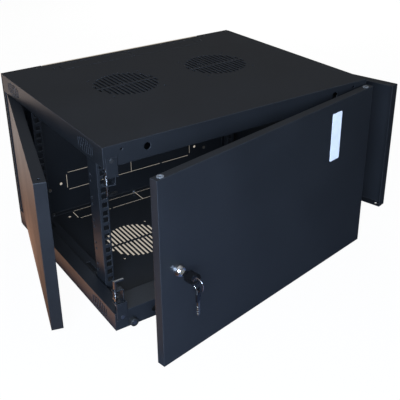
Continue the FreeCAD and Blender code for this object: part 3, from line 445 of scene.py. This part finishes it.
class CABINET_OT_springs(bpy.types.Operator):
    """Winds a coil spring on every pin"""

    bl_idname = "cabinet.springs"
    bl_label = "Pin springs"

    def execute(self, context):
        hardware = context.scene.cabinet_hardware
        for joint in frame["record"]["behaviour"]["joints"]:
            for change in joint.get("deforming_nodes", []):
                coil(change["node"] + "_coil", change["node"],
                     hardware.spring_wire, hardware.spring_turns)
        return {"FINISHED"}


def door_frame():
    """Place and turn of the front door: a matrix from door axes to the cabinet's frame."""
    joints = frame["record"]["behaviour"]["joints"]
    hinge = next(joint for joint in joints if joint["name"] == "front_door_hinge")
    turn = -radians(hinge["range_deg"][0])
    return Matrix.Translation(hinge["pos_m"][:2] + [0]) @ Matrix.Rotation(turn, 4, "Z")


class CABINET_OT_key_ring(bpy.types.Operator):
    """Winds the keys' split ring: two flat turns side by side"""

    bl_idname = "cabinet.key_ring"
    bl_label = "Split key ring"

    def execute(self, context):
        hardware = context.scene.cabinet_hardware
        low, high = (Vector(corner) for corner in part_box("key_ring"))
        across, radial = hardware.ring_wire
        radius = (high.z - low.z - radial) / 2
        bm = bmesh.new()
        section = (Matrix.Translation((-across * RING_TURNS / 2, 0, radius))
                   @ Matrix.Rotation(pi / 2, 4, "X"))
        wire = bmesh.ops.create_circle(bm, segments=RING_SIDES, radius=0.5,
                                       matrix=section @ Matrix.Diagonal((across, radial, 1, 1)))
        bmesh.ops.spin(bm, geom=wire["verts"] + bm.edges[:], cent=(0, 0, 0), axis=(1, 0, 0),
                       dvec=(across / RING_STEPS, 0, 0), angle=2 * pi * RING_TURNS,
                       steps=RING_TURNS * RING_STEPS)
        bmesh.ops.holes_fill(bm, edges=[edge for edge in bm.edges if edge.is_boundary], sides=0)
        hang = Matrix.Translation((low + high) / 2) @ door_frame().to_3x3().to_4x4()
        bmesh.ops.transform(bm, matrix=hang, verts=bm.verts)
        ring = piece_from("split_ring", bm, None, "chrome_plate")
        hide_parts("key_ring")
        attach(ring, "key_ring")
        return {"FINISHED"}


BADGE_PLACE = (-94.5 * MM, -7.4 * MM, 264 * MM)  # on the door's outer face
BADGE_THICK = 0.8 * MM
BADGE_CORNER = 3 * MM
BADGE_RIM = 0.25 * MM


class CABINET_OT_badge(bpy.types.Operator):
    """Puts the blank badge on the door's upper right"""

    bl_idname = "cabinet.badge"
    bl_label = "Blank badge"

    def execute(self, context):
        hardware = context.scene.cabinet_hardware
        across, face, up = BADGE_PLACE
        place = door_frame() @ Matrix.Translation((across, face - BADGE_THICK / 2, up))
        bm = bmesh.new()
        bmesh.ops.create_cube(bm, size=1.0, matrix=Matrix.Diagonal(
            (hardware.badge_width, BADGE_THICK, hardware.badge_height, 1)))
        corners = [edge for edge in bm.edges
                   if abs((edge.verts[0].co - edge.verts[1].co).y) > BADGE_THICK / 2]
        bevel_edges(bm, corners, BADGE_CORNER, 6)
        bevel_edges(bm, [e for e in sharp_edges(bm) if max(v.co.y for v in e.verts) < 0], BADGE_RIM)
        bmesh.ops.transform(bm, matrix=place, verts=bm.verts)
        piece_from("blank_badge", bm, "front_door", "label_plate", smooth=False)
        return {"FINISHED"}


# ---------------------------------------------------------------- studio

def area_light(name, place, target, size, power, color):
    light = bpy.data.lights.new(name, "AREA")
    light.shape = "RECTANGLE"
    light.size, light.size_y = size
    light.energy = power
    light.color = color
    lamp = bpy.data.objects.new(name, light)
    lamp.location = place
    lamp.rotation_euler = (Vector(target) - Vector(place)).to_track_quat("-Z", "Y").to_euler()
    bpy.context.collection.objects.link(lamp)
    return lamp


FLOOR_HALF = 25.0
FLOOR_DROP = 1 * MM
FLOOR_WHITE = 0.96          # share that stays white under a shadow
FLOOR_PAINT = (0.85, 0.85, 0.85)
CABINET_SIDE = -0.27        # places on the floor, in metres from its middle
TABLE_NEAR, TABLE_FAR = -0.3, -0.36
TABLE_FRONT = (-0.3, -0.2)  # where the table fades in, from the front
TABLE_DIM = 0.2
BEHIND_RISE = (0.3, 0.7)
BEHIND_COLOR = (1, 0.97, 0.94)
ROOM_RISE = (0.25, 0.8)     # upward share of a direction where the room is dim and bright
ROOM_COLOR = (0.9, 0.95, 1.0)
MIRROR_COLOR = (0.95, 0.97, 1.0)
WHITE = (1, 1, 1)
SENSOR_WIDTH = 36

CARD_INSET = 0.95           # share of the floor panel that the card under it covers
CARD_DROP = 0.4 * MM
CARD_THICK = 0.1 * MM
CARD_GAP = 4 * MM           # behind the rear panel
CARD_HALF = 185 * MM        # half the width of the card behind the rear panel
KNOCKOUT_REACH = 158 * MM   # from the middle to the outer end of a knock-out
KNOCKOUT_FRONT = 50 * MM    # distances from the floor's rear edge
KNOCKOUT_BACK = 12.5 * MM
KNOCKOUT_SLOT = 1.3 * MM
FLOOR_SHEET = 1.2 * MM
CARD_SINK = 0.25 * MM       # how far the slot cards stay below the sheet's upper face

# Place, point that it faces, size and colour of each light.
MIDDLE = (0, 0, 0.17)
LIGHTS = {
    "window": ((-0.95, -1.3, 0.75), MIDDLE, (0.7, 0.7), (0.55, 0.72, 1.0)),
    "ceiling": ((-0.3, -0.2, 2.2), MIDDLE, (2.4, 2.0), (1.0, 0.98, 0.95)),
    "back": ((1.5, 1.7, 0.7), MIDDLE, (1.2, 1.2), (1.0, 0.97, 0.93)),
    "inside": ((0, 0.02, 0.29), (0, 0.06, 0), (0.42, 0.3), (0.85, 0.92, 1.0)),
}


def pale_floor(studio):
    """Floor that is white to the camera and keeps a soft shadow. Reflections see other
    surroundings: a cool pool of window light at the front left, a warm table beside the
    cabinet's left side, and a pale floor behind it."""
    graph = Graph(bpy.data.materials.new("StudioFloor"))
    seen = graph.node("ShaderNodeEmission", None, {"Color": WHITE, "Strength": 1.0})
    paint = graph.node("ShaderNodeBsdfDiffuse", None, {"Color": FLOOR_PAINT})
    away = graph.node("ShaderNodeVectorMath", {"operation": "DISTANCE"},
                      {0: graph.place(), 1: studio.pool_place}, output="Value")
    fade = graph.node("ShaderNodeMath", {"operation": "EXPONENT"}, {0: away * -studio.pool_fade})
    bright = graph.least(fade * studio.pool_strength, studio.pool_limit)
    pool = graph.node("ShaderNodeEmission", None, {"Color": studio.window_color, "Strength": bright})
    side = graph.node("ShaderNodeSeparateXYZ", None, {0: graph.place()}, output="X")
    back = graph.node("ShaderNodeSeparateXYZ", None, {0: graph.place()}, output="Y")
    beside = graph.remap(side, TABLE_FAR, TABLE_NEAR, TABLE_DIM, 1)
    along = graph.remap(back, *TABLE_FRONT, TABLE_DIM, 1)
    near = beside * along * studio.table_strength
    table = graph.node("ShaderNodeEmission", None, {"Color": studio.table_color, "Strength": near})
    behind = graph.node("ShaderNodeEmission", None, {
        "Color": BEHIND_COLOR, "Strength": graph.remap(back, *BEHIND_RISE, 0, studio.behind_strength)})
    front = graph.either(graph.remap(side, TABLE_NEAR, CABINET_SIDE, 1, 0), pool, table)
    mirrored = graph.node("ShaderNodeAddShader", None, {0: front, 1: behind})
    floor = graph.either(graph.ray("Camera") * FLOOR_WHITE, paint, seen)
    return graph.finish(graph.either(graph.ray("Glossy"), floor, mirrored))


def studio_world(studio):
    """White to the camera, an even room to diffuse rays, and in reflections a dark room that
    gets brighter upward."""
    graph = Graph(bpy.data.worlds.new("Studio"), "ShaderNodeOutputWorld")
    height = graph.node("ShaderNodeSeparateXYZ", None, {0: graph.node("ShaderNodeTexCoord")}, output="Z")
    rise = graph.remap(height, *ROOM_RISE, studio.room_dim, studio.room_bright)
    room = graph.node("ShaderNodeBackground", None, {"Color": ROOM_COLOR, "Strength": studio.ambient})
    mirror = graph.node("ShaderNodeBackground", None, {"Color": MIRROR_COLOR, "Strength": rise})
    white = graph.node("ShaderNodeBackground", None, {"Color": WHITE, "Strength": 1.0})
    unseen = graph.either(graph.ray("Glossy"), room, mirror)
    return graph.finish(graph.either(graph.ray("Camera"), unseen, white))


def glow_card(name, low, high, color):
    """Plain card between two corners that is seen only through the slots of the cabinet.
    A card with no depth shows its front alone, so the rear panel can be looked at from behind,
    and no card lights or mirrors in the cabinet."""
    low, high = Vector(low), Vector(high)
    bm = bmesh.new()
    bmesh.ops.create_cube(bm, size=1.0, matrix=Matrix.Translation((low + high) / 2)
                          @ Matrix.Diagonal((*(high - low), 1)))
    if low.y == high.y:
        bmesh.ops.delete(bm, geom=[face for face in bm.faces if face.normal.y > -0.5], context="FACES")
    mesh = bpy.data.meshes.new(name)
    bm.to_mesh(mesh)
    bm.free()
    graph = Graph(bpy.data.materials.new(name))
    glow = graph.node("ShaderNodeEmission", None, {"Color": color})
    behind = graph.node("ShaderNodeNewGeometry", output="Backfacing")
    seen = graph.ray("Camera") * (1 - behind)
    mesh.materials.append(graph.finish(graph.either(seen, graph.node("ShaderNodeBsdfTransparent"), glow)))
    card = bpy.data.objects.new(name, mesh)
    bpy.context.collection.objects.link(card)


def slot_cards(depth, color):
    """Cards that stand in the narrow slots round the floor's knock-outs, which are seen at a
    low angle."""
    reach, near, far = KNOCKOUT_REACH, depth - KNOCKOUT_FRONT, depth - KNOCKOUT_BACK
    slot = KNOCKOUT_SLOT
    bottom, top = -CARD_DROP, FLOOR_SHEET - CARD_SINK
    for index, back in enumerate((near, far - slot)):
        glow_card("slot_card_%d" % index, (-reach, back, bottom), (reach, back + slot, top), color)
    for index, across in enumerate((-reach - slot, -slot / 2, reach)):
        glow_card("end_card_%d" % index, (across, near + 2 * slot, bottom),
                  (across + slot, far - 2 * slot, top), color)


def through_cards(studio):
    """Warm cards under the floor vents and behind the slots of the rear panel, and dark ones
    behind the holes for its wall screws."""
    low, high = (Vector(corner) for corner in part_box("bottom_panel"))
    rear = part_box("rear_panel")[1][1]
    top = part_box("top_panel")[1][2]
    glow_card("floor_card", (low.x * CARD_INSET, low.y * CARD_INSET, -CARD_DROP - CARD_THICK),
              (high.x * CARD_INSET, high.y * CARD_INSET, -CARD_DROP), studio.card_color)
    behind = rear + CARD_GAP
    glow_card("rear_card", (-CARD_HALF, behind, 0), (CARD_HALF, behind, top), studio.card_color)
    for index, side in enumerate((-1, 1)):
        ends = sorted((side * (CARD_HALF + MM), side * high.x))
        glow_card("wall_card_%d" % index, (ends[0], behind, 0), (ends[1], behind, top),
                  studio.wall_color)
    slot_cards(high.y, studio.card_color)


class CABINET_OT_stage(bpy.types.Operator):
    """Sets up the floor, the soft lights, the world and the camera"""

    bl_idname = "cabinet.stage"
    bl_label = "Studio"

    def execute(self, context):
        scene = context.scene
        studio = scene.cabinet_studio
        bm = bmesh.new()
        bmesh.ops.create_grid(bm, x_segments=1, y_segments=1, size=FLOOR_HALF)
        mesh = bpy.data.meshes.new("studio_floor")
        bm.to_mesh(mesh)
        bm.free()
        mesh.materials.append(pale_floor(studio))
        floor = bpy.data.objects.new("studio_floor", mesh)
        floor.location.z = -FLOOR_DROP
        context.collection.objects.link(floor)

        through_cards(studio)
        for name, (place, target, size, color) in LIGHTS.items():
            lamp = area_light(name, place, target, size, getattr(studio, name + "_power"), color)
            if name == "back":
                lamp.visible_glossy = False  # it would glare on the roof
        scene.world = studio_world(studio)
        scene.view_settings.view_transform = "Standard"

        pitch, turn, roll = studio.camera_pitch, studio.camera_turn, studio.camera_roll
        ahead = Vector((sin(turn) * cos(pitch), cos(turn) * cos(pitch), -sin(pitch)))
        right = Vector((cos(turn), -sin(turn), 0))
        up = right.cross(ahead)
        across = right * cos(roll) + up * sin(roll)
        upward = up * cos(roll) - right * sin(roll)
        view = bpy.data.cameras.new("camera")
        view.sensor_width = SENSOR_WIDTH
        view.lens = studio.camera_lens
        view.shift_x, view.shift_y = studio.camera_shift
        camera = bpy.data.objects.new("camera", view)
        turn_matrix = Matrix((across, upward, -ahead)).transposed().to_4x4()
        camera.matrix_world = Matrix.Translation(studio.camera_place) @ turn_matrix
        context.collection.objects.link(camera)
        scene.camera = camera
        return {"FINISHED"}


# ---------------------------------------------------------------- panel and main

OPERATORS = (CABINET_OT_finishes, CABINET_OT_springs, CABINET_OT_key_ring, CABINET_OT_badge,
             CABINET_OT_stage)


class CABINET_PT_looks(bpy.types.Panel):
    """Lists the cabinet's pieces in the sidebar"""

    bl_idname = "CABINET_PT_looks"
    bl_label = "Cabinet"
    bl_space_type = "VIEW_3D"
    bl_region_type = "UI"
    bl_category = "Cabinet"

    def draw(self, context):
        for settings in SETTINGS:
            group = getattr(context.scene, settings)
            for name in group.__annotations__:
                self.layout.prop(group, name)
        for operator in OPERATORS:
            self.layout.operator(operator.bl_idname)


SETTINGS = {"cabinet_finish": CabinetFinish, "cabinet_hardware": CabinetHardware,
            "cabinet_studio": CabinetStudio}
CLASSES = (*SETTINGS.values(), *OPERATORS, CABINET_PT_looks)


def register():
    for item in CLASSES:
        bpy.utils.register_class(item)
    for name, group in SETTINGS.items():
        setattr(bpy.types.Scene, name, bpy.props.PointerProperty(type=group))


def unregister():
    for name in SETTINGS:
        delattr(bpy.types.Scene, name)
    for item in reversed(CLASSES):
        bpy.utils.unregister_class(item)


def main():
    register()
    for operator in OPERATORS:
        area, action = operator.bl_idname.split(".")
        getattr(getattr(bpy.ops, area), action)()


if __name__ == "__main__":
    main()
